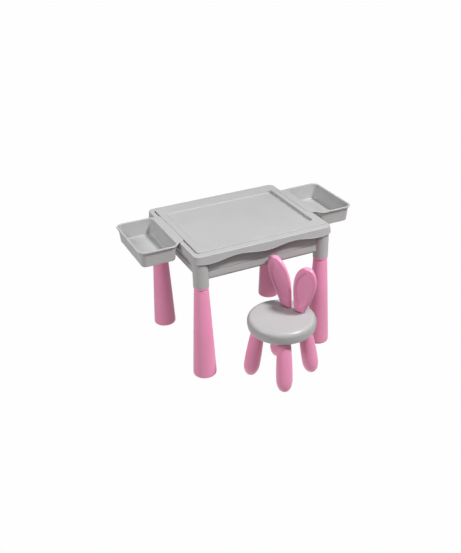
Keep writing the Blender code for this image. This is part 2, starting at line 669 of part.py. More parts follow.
def centre_on_origin(roots):
    """Move the whole set so that its footprint's middle is at x = y = 0."""
    bpy.context.view_layer.update()
    depsgraph = bpy.context.evaluated_depsgraph_get()
    corners = []
    for thing in PARTS.objects:
        if thing.type == "MESH":
            shape = thing.evaluated_get(depsgraph)
            corners += [shape.matrix_world @ vertex.co for vertex in shape.data.vertices]
    for root in roots:
        for axis in (0, 1):
            values = [corner[axis] for corner in corners]
            root.location[axis] -= (min(values) + max(values)) / 2
    bpy.context.view_layer.update()


clear_scene()
PARTS = new_collection("kids_table_and_stool")
CUTTERS = new_collection("cutters")
centre_on_origin([make_table(), make_stool()])
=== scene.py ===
"""Looks of the children's activity table and its two-ear stool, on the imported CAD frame."""

import math

import bmesh
import bpy
from mathutils import Matrix, Vector


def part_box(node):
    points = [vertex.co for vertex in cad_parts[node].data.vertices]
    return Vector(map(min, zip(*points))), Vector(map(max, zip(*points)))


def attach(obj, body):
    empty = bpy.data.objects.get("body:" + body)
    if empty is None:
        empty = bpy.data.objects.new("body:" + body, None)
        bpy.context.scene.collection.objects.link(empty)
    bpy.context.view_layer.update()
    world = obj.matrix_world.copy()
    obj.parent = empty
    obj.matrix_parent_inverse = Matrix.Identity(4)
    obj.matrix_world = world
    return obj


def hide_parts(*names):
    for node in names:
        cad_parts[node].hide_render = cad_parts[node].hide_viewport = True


# Camera: its direction in degrees, its distance and its lens in millimetres
CAMERA_AZIMUTH = -25.24
CAMERA_ELEVATION = 28.96
CAMERA_ROLL = -1.38
CAMERA_DISTANCE = 2.902
CAMERA_AIM = (-0.0392, -0.0114, 0.2604)     # from the middle of the table's footprint
CAMERA_LENS = 48.73

# Finish of the moulded plastics, linear colours
GREY = (0.420, 0.420, 0.423)
PINK = (0.850, 0.310, 0.507)

# Shared by several pieces
WALL = 0.003                # usual thickness of a moulded wall
GAP = 0.0003                # clearance between pieces that touch
PAST = 0.01                 # how far a cutting tool runs past the face that it opens

# Table top rim
TOP_CORNER = 0.022
RIM_THICK = 0.003
RIM_ROUND = 0.0028
SKIRT_WALL = 0.0035
SKIRT_FLARE = 0.003
SKIRT_MEAN = 0.0297
SKIRT_WAVE = 0.0057
SKIRT_PLAIN = 0.005         # depth at which the skirt starts to flare
SIDE_FLARE = 0.8            # share of the flare that the ends reach, where the wave is at its mean
WAVES = 2.5                 # skirt waves across the table's width
# (inset, lift) of the bead round the skirt's lower edge, from its inner side to its upper round
BEAD = ((SKIRT_WALL, 0.0006), (SKIRT_WALL - 0.0006, 0.0), (0.0006, 0.0), (-0.0004, 0.0005),
        (-0.0008, 0.0013), (-0.0006, 0.0022), (-0.0002, 0.0029), (0.0, 0.0036))
LEDGE_WIDTH = 0.010
RIM_FRONT = 0.028           # rim width, from the rim's outer edge to the board's bay
RIM_BACK = 0.020
RIM_LEFT = 0.017
RIM_RIGHT = 0.010
BAY_CORNER = 0.012

# Board
RECESS_LOW = (-0.227, -0.156)
RECESS_HIGH = (0.2205, 0.156)
RECESS_CORNER = 0.018
RECESS_DEEP = 0.0025
GROOVE_LOW = (0.2155, -0.158)
GROOVE_HIGH = (0.236, 0.169)
GROOVE_DEEP = 0.0115
TRAY_SLOT = 0.005
NOTCH_GAP = 0.0014          # shadow gap between the board's notch and the right tray's flange

# Storage box
BAND_HIGH = 0.030
BOX_GROOVE = (0.0032, 0.0022)       # depth and height of the groove above the lower band
BOX_WALL_IN = 0.0010                # how far the wall above the groove stands back
PLINTH = (0.0045, 0.0068)           # inset and height of the shadow gap along the lower edge

# Trays
TRAY_CORNER = 0.029
TRAY_TAPER = 0.0125
TRAY_LIP = 0.006
TRAY_WALL = 0.0025
LIP_THICK = 0.0018
LIP_DEEP = 0.0052
FLANGE_WIDTH = 0.0285
FLANGE_THICK = 0.0022
FLANGE_FRONT = -0.078
FLANGE_BACK = 0.144
FLARE_FRONT = 0.028         # how far the flange widens into the tray, at its front and back ends
FLARE_BACK = 0.0095
HOOK_START = 0.004          # from the flange's ends to where the hook starts, and is fully deep
HOOK_FULL = 0.009
HOOK_THICK = 0.003
HOOK_DEEP = 0.0125

# Legs, posts and caps
POST_ROUND = 0.008
POST_SPIGOT = 0.0245
CONE_TOP_RADIUS = 0.0262
COLLAR_HIGH = 0.0060
NECK_HIGH = 0.0044          # groove between the collar and the cone
NECK_IN = 0.0030
NECK_WALL = 0.0015
ENTASIS = 0.0004            # swelling of the cone's side halfway down

# Stool, in its own frame: +X points from the seat's middle to the ears
STOOL_TURNED = Matrix.Rotation(math.radians(22.0), 4, "Z")
SEAT_FLAT = 0.107
SEAT_RIM_HIGH = 0.019
SEAT_FOOT_RADIUS = 0.1175
FOOT_RING = 0.115
TOP_RING = 0.083
LEG_RADIUS = 0.0295
NECK_RADIUS = 0.0235
NECK_SHOWS = 0.004          # straight part of the neck below the seat
BELLY = 0.050
SHOULDER_HIGH = 0.012       # from the belly up to where the leg starts to narrow
FOOT_FLAT = 0.0015          # cut off the round end by the floor
LEG_STEPS = 16
SOCKET_DEEP = 0.018
EAR_RING = 0.0655
EAR_SPACING = 0.0295
EAR_SPREAD = 0.0445
EAR_LEAN = -0.0165
EAR_FOOT_WIDE = 0.0235
EAR_WIDE = 0.0465
EAR_WIDEST = 0.62
EAR_THICK = 0.021
EAR_THIN_FROM = 0.016       # half width below which the ear gets thinner
EAR_TIP_WIDE = 0.004        # half width of the flat that closes the tip
EAR_TOP = 0.9998            # height of that flat, as a fraction of the ear's height
EAR_POINTS = 144            # points round the ear
EAR_LEVELS = 90             # rings up the ear
EAR_DISH = 0.0085
DISH_WIDE = 0.82            # half width of the dish, as a fraction of the ear's
DISH_MIDDLE = 0.52          # height of its middle and its half height, as fractions of the ear's
DISH_HIGH = 0.43
DISH_WALL = 0.70            # share of the dish's radius where its wall starts
DISH_STEP = 0.72            # share of its depth that the wall takes
EAR_RECESS = 0.001
TONGUE = (0.012, 0.030)             # thickness and width of an ear's tongue

FINE = 96                           # segments around turned pieces
SEAT_SEGMENTS = 128
STOOL_LEG_SEGMENTS = 64

# Studio: softboxes as (name, offset from the table's middle, diameter, watts)
SOFTBOXES = (("key_softbox", (1.9, -2.6, 4.8), 0.7, 145.0),
             ("near_softbox", (1.2, -1.6, 3.0), 0.5, 71.0),
             ("left_softbox", (-2.6, 0.0, 2.2), 1.2, 41.5),
             ("front_left_softbox", (-1.9, -1.9, 2.4), 1.2, 17.5),
             ("back_softbox", (0.0, 2.6, 2.4), 1.2, 11.5),
             ("right_softbox", (2.6, 0.0, 2.2), 1.2, 7.0))
# Light arriving from all round, as (upward part of its direction, strength)
FLOOR_BOUNCE = ((-1.0, 1.39), (-0.5, 0.61), (-0.15, 0.0), (0.15, 0.0), (0.5, 0.1), (1.0, 0.1))
BOUNCE_TINT = (1.04, 0.985, 0.95)
LIGHTS_AIM = (-0.1, 0.35)           # offset in Y from the table's middle, and height
ROOM_RADIUS = 28.0
ROOM_WHITE = 0.99
FLOOR_DROP = 0.0005                 # keeps the floor clear of the feet


# ---------------------------------------------------------------- mesh helpers

def make_object(name, bm, material):
    """Smooth-shaded object from a bmesh, with its normals facing outwards."""
    bmesh.ops.recalc_face_normals(bm, faces=bm.faces)
    mesh = bpy.data.meshes.new(name)
    bm.to_mesh(mesh)
    bm.free()
    mesh.shade_smooth()
    mesh.materials.append(material)
    thing = bpy.data.objects.new(name, mesh)
    bpy.context.scene.collection.objects.link(thing)
    return thing


def loft(name, rings, material, closed=False):
    """Surface through rings of equal length: capped at both ends, or closed on itself."""
    bm = bmesh.new()
    loops = [[bm.verts.new(point) for point in ring] for ring in rings]
    count = len(loops[0])
    following = loops[1:] + loops[:1] if closed else loops[1:]
    for lower, upper in zip(loops, following):
        for i in range(count):
            j = (i + 1) % count
            bm.faces.new((lower[i], lower[j], upper[j], upper[i]))
    if not closed:
        bm.faces.new(reversed(loops[0]))
        bm.faces.new(loops[-1])
    return make_object(name, bm, material)


def rounded_path(points, steps=4):
    """Polyline through (u, v, fillet) points with each corner rounded to its fillet."""
    path = []
    for index, (u, v, fillet) in enumerate(points):
        here = Vector((u, v))
        if fillet == 0.0:
            path.append(here)
            continue
        before = Vector(points[index - 1][:2]) - here
        after = Vector(points[index + 1][:2]) - here
        reach = min(fillet, before.length * 0.49, after.length * 0.49)
        start = here + before.normalized() * reach
        end = here + after.normalized() * reach
        for step in range(steps + 1):
            t = step / steps
            path.append(start * (1 - t) ** 2 + here * 2 * t * (1 - t) + end * t ** 2)
    return [tuple(point) for point in path]


def turned(name, profile, material, segments=FINE):
    """Solid of revolution from a (radius, height) path that starts and ends on the axis."""
    bm = bmesh.new()
    angles = [2 * math.pi * i / segments for i in range(segments)]
    rings = []
    for radius, z in profile:
        if radius < 1e-6:
            rings.append([bm.verts.new((0.0, 0.0, z))])
            continue
        rings.append([bm.verts.new((radius * math.cos(a), radius * math.sin(a), z)) for a in angles])
    for upper, lower in zip(rings, rings[1:]):
        for i in range(segments):
            j = (i + 1) % segments
            corners = [upper[i % len(upper)], lower[i % len(lower)], lower[j % len(lower)],
                       upper[j % len(upper)]]
            bm.faces.new(list(dict.fromkeys(corners)))
    return make_object(name, bm, material)


def outline(low, high, radius, corner_steps=10, side_steps=(1, 1)):
    """(point, outward normal) pairs round a rounded rectangle, anticlockwise."""
    centres = ((high[0] - radius, high[1] - radius), (low[0] + radius, high[1] - radius),
               (low[0] + radius, low[1] + radius), (high[0] - radius, low[1] + radius))
    pairs = []
    for quarter, centre in enumerate(centres):
        for step in range(corner_steps + 1):
            angle = 0.5 * math.pi * (quarter + step / corner_steps)
            normal = Vector((math.cos(angle), math.sin(angle)))
            pairs.append((Vector(centre) + normal * radius, normal))
        start, normal = pairs[-1]
        turn = 0.5 * math.pi * (quarter + 1)
        other = Vector(centres[(quarter + 1) % 4]) + Vector((math.cos(turn), math.sin(turn))) * radius
        pieces = side_steps[quarter % 2]
        for step in range(1, pieces):
            pairs.append((start.lerp(other, step / pieces), normal))
    return pairs


def level_ring(pairs, inset, z):
    """Ring at one height, drawn in from an outline."""
    return [Vector((point.x - normal.x * inset, point.y - normal.y * inset, z))
            for point, normal in pairs]


def block(name, low, high, radius, levels, material, corner_steps=10):
    """Upright block with rounded corners, its outline drawn in by (inset, height) levels."""
    pairs = outline(low, high, radius, corner_steps)
    return loft(name, [level_ring(pairs, inset, z) for inset, z in levels], material)


def slab_tool(name, half, top, material):
    """Wide square slab under a height, which cuts off what is below it."""
    return block(name, (-half, -half), (half, half), 0.01, [(0.0, top - 5 * PAST), (0.0, top)],
                 material, 2)


def bake(thing):
    """Replace an object's mesh by what its modifiers make of it."""
    depsgraph = bpy.context.evaluated_depsgraph_get()
    mesh = bpy.data.meshes.new_from_object(thing.evaluated_get(depsgraph))
    thing.modifiers.clear()
    thing.data = mesh


def combine(target, tools, operation):
    """Boolean the tools into the target, bake it and remove the tools."""
    for tool in tools:
        modifier = target.modifiers.new(tool.name, "BOOLEAN")
        modifier.operation = operation
        modifier.solver = "EXACT"
        modifier.object = tool
    bpy.context.view_layer.update()
    bake(target)
    for tool in tools:
        bpy.data.objects.remove(tool, do_unlink=True)


def soften(thing, width, segments=3, angle=40.0):
    """Round the sharp edges and keep the flat faces flat."""
    bevel = thing.modifiers.new("soft_edges", "BEVEL")
    bevel.width = width
    bevel.segments = segments
    bevel.limit_method = "ANGLE"
    bevel.angle_limit = math.radians(angle)
    bevel.harden_normals = False
    weigh(thing)


def weigh(thing):
    """Shade flat faces flat up to their rounded edges."""
    normals = thing.modifiers.new("even_shading", "WEIGHTED_NORMAL")
    normals.keep_sharp = True
    normals.weight = 100


def turn_mesh(thing, matrix):
    """Turn the mesh itself, so that the object keeps no rotation and its bounds stay tight."""
    thing.data.transform(matrix)
    thing.matrix_world = Matrix.Identity(4)


def place(thing, centre, node, body):
    """Stand a finished piece at its place, on its body, in its CAD node's stead."""
    thing.location = centre
    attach(thing, body)
    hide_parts(node)


def smoothstep(low, high, value):
    """0 below low, 1 above high, and a smooth rise between them."""
    t = min(max((value - low) / (high - low), 0.0), 1.0)
    return t * t * (3 - 2 * t)


# ---------------------------------------------------------------- materials

def moulded_plastic(name, colour, roughness, grain):
    """Satin injection-moulded plastic: faint flow clouds, uneven gloss and a fine spark grain."""
    material = bpy.data.materials.new(name)
    material.use_nodes = True
    nodes = material.node_tree.nodes
    links = material.node_tree.links
    shader = nodes["Principled BSDF"]
    shader.inputs["Metallic"].default_value = 0.0
    shader.inputs["IOR"].default_value = 1.49
    shader.inputs["Specular IOR Level"].default_value = 0.45
    place_node = nodes.new("ShaderNodeTexCoord")

    def noise(scale, detail):
        node = nodes.new("ShaderNodeTexNoise")
        node.inputs["Scale"].default_value = scale
        node.inputs["Detail"].default_value = detail
        links.new(place_node.outputs["Object"], node.inputs["Vector"])
        return node

    clouds = noise(9.0, 3.0)
    tint = nodes.new("ShaderNodeValToRGB")
    tint.color_ramp.elements[0].position = 0.3
    tint.color_ramp.elements[0].color = (*[c * 0.965 for c in colour], 1.0)
    tint.color_ramp.elements[1].position = 0.7
    tint.color_ramp.elements[1].color = (*[min(c * 1.025, 1.0) for c in colour], 1.0)
    links.new(clouds.outputs["Fac"], tint.inputs["Fac"])
    links.new(tint.outputs["Color"], shader.inputs["Base Color"])

    gloss = noise(55.0, 4.0)
    spread = nodes.new("ShaderNodeMapRange")
    spread.inputs["To Min"].default_value = roughness - 0.14 * grain
    spread.inputs["To Max"].default_value = roughness + 0.14 * grain
    links.new(gloss.outputs["Fac"], spread.inputs["Value"])
    links.new(spread.outputs["Result"], shader.inputs["Roughness"])

    spark = noise(2600.0, 2.0)
    sink = noise(38.0, 2.0)
    fine = nodes.new("ShaderNodeBump")
    fine.inputs["Strength"].default_value = grain
    fine.inputs["Distance"].default_value = 0.00012
    broad = nodes.new("ShaderNodeBump")
    broad.inputs["Strength"].default_value = 0.14 * grain
    broad.inputs["Distance"].default_value = 0.0008
    links.new(spark.outputs["Fac"], fine.inputs["Height"])
    links.new(sink.outputs["Fac"], broad.inputs["Height"])
    links.new(fine.outputs["Normal"], broad.inputs["Normal"])
    links.new(broad.outputs["Normal"], shader.inputs["Normal"])
    return material


def pale_white():
    """Plain white that the floor and the backdrop share, so that no horizon shows between them."""
    material = bpy.data.materials.new("studio_white")
    material.use_nodes = True
    shader = material.node_tree.nodes["Principled BSDF"]
    shader.inputs["Base Color"].default_value = (0.0, 0.0, 0.0, 1.0)
    shader.inputs["Roughness"].default_value = 1.0
    shader.inputs["Specular IOR Level"].default_value = 0.0
    shader.inputs["Emission Color"].default_value = (1.0, 1.0, 1.0, 1.0)
    shader.inputs["Emission Strength"].default_value = ROOM_WHITE
    return material


# ---------------------------------------------------------------- table

def table_datum():
    """Middle of the table's footprint and the heights that the rest is measured from."""
    low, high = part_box("top_frame")
    board_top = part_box("tabletop_board")[1].z
    half_x = (high.x - low.x) / 2 - SKIRT_FLARE * SIDE_FLARE
    half_y = (high.y - low.y) / 2 - SKIRT_FLARE
    return {
        "centre": Vector(((low.x + high.x) / 2, (low.y + high.y) / 2, 0.0)),
        "half_x": half_x,
        "half_y": half_y,
        "top": board_top,
        "rim": high.z,
        "ledge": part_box("tabletop_board")[0].z - GAP,
        "bay_low": (-half_x + RIM_LEFT, -half_y + RIM_FRONT),
        "bay_high": (half_x - RIM_RIGHT, half_y - RIM_BACK),
    }


def make_rim(datum, material):
    """Rim with its rounded edge, wavy skirt, thin lower bead and the board's ledge."""
    side_steps = (100, 30)
    half_x, half_y = datum["half_x"], datum["half_y"]
    outer = outline((-half_x, -half_y), (half_x, half_y), TOP_CORNER, 12, side_steps)
    bay = outline(datum["bay_low"], datum["bay_high"], BAY_CORNER, 12, side_steps)
    deepest = SKIRT_MEAN + SKIRT_WAVE - SKIRT_PLAIN

    def skirt_ring(inset, lift):
        ring = []
        for point, normal in outer:
            wave = math.cos(2 * math.pi * point.x * WAVES / (2 * half_x))
            depth = SKIRT_MEAN + SKIRT_WAVE * wave - lift
            flare = SKIRT_FLARE * max(depth - SKIRT_PLAIN, 0.0) / deepest
            spot = point + normal * (flare - inset)
            ring.append(Vector((spot.x, spot.y, datum["top"] - depth)))
        return ring

    rings = [skirt_ring(inset, lift) for inset, lift in BEAD]
    edge = rounded_path([(0.0, datum["rim"] - 0.008, 0.0), (0.0, datum["rim"], RIM_ROUND),
                         (0.010, datum["rim"], 0.0)], 6)[1:-1]
    rings += [level_ring(outer, inset, z) for inset, z in edge]
    lip = rounded_path([(-0.006, datum["rim"], 0.0), (0.0, datum["rim"], 0.001),
                        (0.0, datum["ledge"], 0.0)], 3)[1:]
    rings += [level_ring(bay, inset, z) for inset, z in lip]
    under = [(LEDGE_WIDTH, datum["ledge"]), (LEDGE_WIDTH, datum["ledge"] - RIM_THICK),
             (-RIM_THICK, datum["ledge"] - RIM_THICK), (-RIM_THICK, datum["rim"] - RIM_THICK)]
    rings += [level_ring(bay, inset, z) for inset, z in under]
    rings.append(level_ring(outer, SKIRT_WALL, datum["rim"] - RIM_THICK))
    rim = loft("rim_shell", rings, material, closed=True)
    weigh(rim)
    place(rim, datum["centre"], "top_frame", "table")


def make_board(datum, material):
    """Board with a soft-edged recess, a pen groove, hook notch and ribs underneath."""
    top = datum["top"]
    low = (datum["bay_low"][0] + TRAY_SLOT, datum["bay_low"][1] + 0.0005)
    high = (datum["bay_high"][0] - 0.0005, datum["bay_high"][1] - 0.0005)
    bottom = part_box("tabletop_board")[0].z
    sides = (40, 30)
    edge = outline(low, high, BAY_CORNER, 10, sides)
    recess = outline(RECESS_LOW, RECESS_HIGH, RECESS_CORNER, 10, sides)
    floor = top - RECESS_DEEP
    outside = rounded_path([(0.0, bottom, 0.0), (0.0, top, 0.0018), (0.01, top, 0.0)], 4)[:-1]
    inside = rounded_path([(-0.01, top, 0.0), (0.0, top, 0.0012), (0.0034, floor, 0.0022),
                           (0.02, floor, 0.0)], 4)[1:-1]
    rings = [level_ring(edge, inset, z) for inset, z in outside]
    rings += [level_ring(recess, inset, z) for inset, z in inside]
    board = loft("board_panel", rings, material)

    groove_path = rounded_path([(0.0, top + PAST, 0.0), (0.0, top - GROOVE_DEEP, 0.004),
                                (0.006, top - GROOVE_DEEP, 0.0)], 4)
    levels = list(reversed(groove_path))
    groove = block("groove_tool", GROOVE_LOW, GROOVE_HIGH, 0.0075, levels, material)
    notch = block("notch_tool", (high[0] - TRAY_SLOT - NOTCH_GAP, FLANGE_FRONT - 0.004),
                  (high[0] + PAST, FLANGE_BACK + 0.004), 0.003,
                  [(0.0, bottom - PAST), (0.0, top + PAST)], material)
    combine(board, [groove, notch] + pocket_tools(low, high, bottom, floor, material), "DIFFERENCE")
    soften(board, 0.0007, 2, 50.0)
    place(board, datum["centre"], "tabletop_board", "board")


def pocket_tools(low, high, bottom, floor, material):
    """Pockets moulded into the underside between an edge wall and crossing ribs."""
    ceiling = floor - 0.0035
    columns, rows = 2, 2
    left, right = low[0] + WALL, GROOVE_LOW[0] - WALL
    front, back = low[1] + WALL, high[1] - WALL
    wide = (right - left - (columns - 1) * WALL) / columns
    deep = (back - front - (rows - 1) * WALL) / rows
    tools = []
    for column in range(columns):
        for row in range(rows):
            x = left + column * (wide + WALL)
            y = front + row * (deep + WALL)
            tools.append(block("pocket_tool", (x, y), (x + wide, y + deep), 0.008,
                               [(0.0, bottom - PAST), (0.0, ceiling)], material, 5))
    return tools


def make_storage_box(datum, material):
    """Open box whose walls are the table's apron, with a groove above its band and a plinth below."""
    low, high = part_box("storage_box")
    half = ((high.x - low.x) / 2, (high.y - low.y) / 2)
    corner = (-half[0], -half[1])
    band_top = low.z + BAND_HIGH
    foot = low.z + PLINTH[1]
    levels = rounded_path([(0.007, low.z, 0.0), (PLINTH[0], low.z, 0.0008), (PLINTH[0], foot, 0.0003),
                           (0.0, foot, 0.0009), (0.0, band_top, 0.0005),
                           (BOX_GROOVE[0], band_top, 0.0004),
                           (BOX_GROOVE[0], band_top + BOX_GROOVE[1], 0.0004),
                           (BOX_WALL_IN, band_top + BOX_GROOVE[1], 0.0005),
                           (BOX_WALL_IN, high.z, 0.0)], 3)
    box = block("box_shell", corner, half, 0.012, levels, material)
    wall = WALL + BOX_GROOVE[0]
    cavity = block("cavity_tool", (corner[0] + wall, corner[1] + wall),
                   (half[0] - wall, half[1] - wall), 0.010,
                   [(0.004, low.z + WALL), (0.0, low.z + WALL + 0.004), (0.0, high.z + PAST)], material)
    over, under = 0.6, 0.3
    walls, spaces = [], []
    for post in post_places():
        post_low, post_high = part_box(post["post"])
        radius = (post_high.x - post_low.x) / 2
        for tools, extra in ((walls, WALL + GAP), (spaces, GAP)):
            rod = turned("post_tool", [(0.0, over), (radius + extra, over), (radius + extra, under),
                                       (0.0, under)], material)
            rod.location = post["centre"] - datum["centre"]
            tools.append(rod)
    combine(cavity, walls, "DIFFERENCE")
    lip = WALL + GAP
    ledge = block("ledge_tool", (datum["bay_low"][0] - lip, datum["bay_low"][1] - lip),
                  (datum["bay_high"][0] + lip, datum["bay_high"][1] + lip), BAY_CORNER + lip,
                  [(0.0, datum["ledge"] - lip), (0.0, datum["top"])], material)
    combine(box, [cavity] + spaces + [ledge], "DIFFERENCE")
    soften(box, 0.0006, 2, 50.0)
    place(box, datum["centre"], "storage_box", "table")


def post_places():
    """Place and node names of each corner's post, leg and foot cap."""
    places = []
    for corner in ("front_left", "front_right", "back_left", "back_right"):
        low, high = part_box("corner_post_" + corner)
        centre = Vector(((low.x + high.x) / 2, (low.y + high.y) / 2, 0.0))
        places.append({"centre": centre, "post": "corner_post_" + corner,
                       "leg": "table_leg_" + corner, "cap": "foot_cap_" + corner})
    return places


def make_post(post, material):
    """Corner tube with a rounded top and the bore that takes the leg's spigot."""
    low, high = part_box(post["post"])
    radius = (high.x - low.x) / 2
    bore = POST_SPIGOT + 0.0004
    bore_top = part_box(post["leg"])[1].z + 0.0015
    profile = rounded_path([(0.0, high.z, 0.0), (radius, high.z, POST_ROUND), (radius, low.z, 0.0012),
                            (bore, low.z, 0.0005), (bore, bore_top, 0.001), (0.0, bore_top, 0.0)], 6)
    thing = turned(post["post"] + "_shell", profile, material)
    weigh(thing)
    place(thing, post["centre"], post["post"], "table")


def make_leg(post, material):
    """Conical leg with a collar under the post, a shadow groove and a gentle entasis."""
    low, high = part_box(post["leg"])
    post_low, post_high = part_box(post["post"])
    post_radius = (post_high.x - post_low.x) / 2
    foot_radius = (high.x - low.x) / 2
    collar_top = post_low.z - GAP
    collar_bottom = collar_top - COLLAR_HIGH
    cone_top = collar_bottom - NECK_HIGH
    neck = CONE_TOP_RADIUS - NECK_IN
    points = [(0.0, high.z, 0.0), (POST_SPIGOT, high.z, 0.002), (POST_SPIGOT, collar_top, 0.0003),
              (post_radius - 0.0004, collar_top, 0.0014), (post_radius - 0.0004, collar_bottom, 0.0014),
              (neck, collar_bottom, 0.0006), (neck, cone_top + 0.001, 0.0006),
              (CONE_TOP_RADIUS, cone_top, 0.0012)]
    rise = cone_top - low.z
    for share in (0.25, 0.5, 0.75):
        z = cone_top - rise * share
        radius = CONE_TOP_RADIUS + (foot_radius - CONE_TOP_RADIUS) * share
        points.append((radius + ENTASIS * math.sin(math.pi * share), z, 0.02))
    points += [(foot_radius, low.z, 0.0014), (foot_radius - WALL, low.z, 0.0004),
               (neck - NECK_WALL, cone_top - NECK_HIGH, 0.0), (neck - NECK_WALL, high.z - WALL, 0.0),
               (0.0, high.z - WALL, 0.0)]
    thing = turned(post["leg"] + "_shell", rounded_path(points, 4), material)
    weigh(thing)
    place(thing, post["centre"], post["leg"], "table")


def make_cap(post, material):
    """Foot cap with a plug up into the leg and a shallow hollow under its middle."""
    low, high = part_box(post["cap"])
    leg_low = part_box(post["leg"])[0]
    radius = (high.x - low.x) / 2
    seam = leg_low.z - GAP
    plug = radius - WALL - 2 * GAP
    profile = rounded_path([(0.0, high.z, 0.0), (plug, high.z, 0.001), (plug, seam, 0.0),
                            (radius, seam, 0.0008), (radius, low.z, 0.0042), (radius * 0.55, low.z, 0.0),
                            (radius * 0.5, low.z + 0.0012, 0.0004), (0.0, low.z + 0.0012, 0.0)], 5)
    thing = turned(post["cap"] + "_shell", profile, material)
    weigh(thing)
    place(thing, post["centre"], post["cap"], "table")


# ---------------------------------------------------------------- trays

def make_tray(node, body, side, datum, material):
    """Tapered tub with a rolled lip that widens beside the table into a flange and hook."""
    low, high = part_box(node)
    low, high = low - datum["centre"], high - datum["centre"]
    hook = low.x if side > 0 else high.x
    near = hook + side * FLANGE_WIDTH
    top = high.z
    tub_low = (min(near, low.x if side < 0 else near), low.y)
    tub_high = (max(near, high.x if side > 0 else near), high.y)
    pairs = outline(tub_low, tub_high, TRAY_CORNER, 16, (20, 60))

    def pull(point):
        """0 on the tray's own outline, 1 where the flange reaches in to the hook."""
        if (point.x - near) * side > TRAY_CORNER:
            return 0.0
        front = smoothstep(FLANGE_FRONT - FLARE_FRONT, FLANGE_FRONT - 0.001, point.y)
        back = 1 - smoothstep(FLANGE_BACK + 0.001, FLANGE_BACK + FLARE_BACK, point.y)
        return front * back

    def hooked(point):
        """0 beside the hook, 1 along it."""
        front = smoothstep(FLANGE_FRONT + HOOK_START, FLANGE_FRONT + HOOK_FULL, point.y)
        back = 1 - smoothstep(FLANGE_BACK - HOOK_FULL, FLANGE_BACK - HOOK_START, point.y)
        return front * back * pull(point)

    def lip_ring(inset, drop, hook_drop, hook_inset):
        """Ring on the outer edge, dropped by the lip's depth, the flange's or the hook's."""
        ring = []
        for point, normal in pairs:
            amount = pull(point)
            x = point.x - normal.x * inset
            y = point.y - normal.y * inset * (1 - amount)
            x += (hook + side * hook_inset - x) * amount
            fall = drop + (min(drop, FLANGE_THICK) - drop) * smoothstep(0.02, 0.12, amount)
            fall += (hook_drop - fall) * hooked(point)
            ring.append(Vector((x, y, top - fall)))
        return ring

    bottom = low.z
    deepest = TRAY_CORNER - 0.0005
    outer = rounded_path([(deepest, bottom, 0.0), (TRAY_TAPER, bottom, 0.008),
                          (TRAY_LIP, top - FLANGE_THICK, 0.0)], 6)
    inner = rounded_path([(-0.01, top, 0.0), (TRAY_LIP + 0.001, top, 0.0022),
                          (TRAY_TAPER + TRAY_WALL, bottom + TRAY_WALL, 0.0085),
                          (deepest, bottom + TRAY_WALL, 0.0)], 6)[1:]
    rings = [level_ring(pairs, inset, z) for inset, z in outer]
    rings += [lip_ring(LIP_THICK, FLANGE_THICK, FLANGE_THICK, HOOK_THICK),
              lip_ring(LIP_THICK, LIP_DEEP - 0.0006, HOOK_DEEP - 0.0005, HOOK_THICK),
              lip_ring(LIP_THICK - 0.0006, LIP_DEEP, HOOK_DEEP, HOOK_THICK - 0.0006),
              lip_ring(0.0005, LIP_DEEP, HOOK_DEEP, 0.0006),
              lip_ring(0.0, LIP_DEEP - 0.0006, HOOK_DEEP - 0.0006, 0.0),
              lip_ring(0.0, 0.0018, 0.0018, 0.0),
              lip_ring(0.0004, 0.0008, 0.0008, 0.0003),
              lip_ring(0.0011, 0.0002, 0.0002, 0.0009),
              lip_ring(0.0020, 0.0, 0.0, 0.0018)]
    rings += [level_ring(pairs, inset, z) for inset, z in inner]
    tray = loft(node + "_tub", rings, material)
    weigh(tray)
    place(tray, datum["centre"], node, body)


# ---------------------------------------------------------------- stool

def make_seat(centre, material):
    """Round shell with a soft rim, and a slot in a shallow recess for each ear."""
    low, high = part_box("seat_top")
    radius = (high.x - low.x) / 2
    widest = high.z - SEAT_RIM_HIGH
    under_steps = 6

    def rim(inset, steps):
        """(radius, height) points from the flat middle over the rim and down to its foot."""
        points = []
        for step in range(steps + 1):
            angle = 0.5 * math.pi * step / steps
            points.append((SEAT_FLAT + (radius - inset - SEAT_FLAT) * math.sin(angle),
                           widest + (high.z - inset - widest) * math.cos(angle)))
        for step in range(1, under_steps + 1):
            angle = 0.5 * math.pi * step / under_steps
            points.append((radius - inset - (radius - SEAT_FOOT_RADIUS) * (1 - math.cos(angle)),
                           widest - (widest - low.z) * math.sin(angle)))
        return points

    profile = [(0.0, high.z), (SEAT_FLAT * 0.5, high.z)] + rim(0.0, 20)
    profile += list(reversed(rim(WALL, 8))) + [(0.0, high.z - WALL)]
    seat = turned("seat_shell", profile, material, SEAT_SEGMENTS)
    slots = []
    for side in (-1, 1):
        half = (TONGUE[0] / 2 + GAP, TONGUE[1] / 2 + GAP)
        y = side * EAR_SPACING
        slots.append(block("slot_tool", (EAR_RING - half[0], y - half[1]),
                           (EAR_RING + half[0], y + half[1]), 0.003,
                           [(0.0, low.z), (0.0, high.z + PAST)], material, 4))
        half = (EAR_THICK / 2 + 0.001, EAR_FOOT_WIDE + 0.001)
        slots.append(block("recess_tool", (EAR_RING - half[0], y - half[1]),
                           (EAR_RING + half[0], y + half[1]), 0.006,
                           [(0.0, high.z - EAR_RECESS), (0.0, high.z + 2 * PAST)], material, 6))
    combine(seat, slots, "DIFFERENCE")
    weigh(seat)
    turn_mesh(seat, STOOL_TURNED)
    place(seat, centre, "seat_top", "stool")


def leg_stand(angle, rise):
    """Placement that stands a stool leg on the foot ring and leans it in to the seat."""
    lean = math.atan2(FOOT_RING - TOP_RING, rise)
    turn = Matrix.Rotation(angle, 4, "Z")
    return turn @ Matrix.Translation((FOOT_RING, 0.0, 0.0)) @ Matrix.Rotation(-lean, 4, "Y")


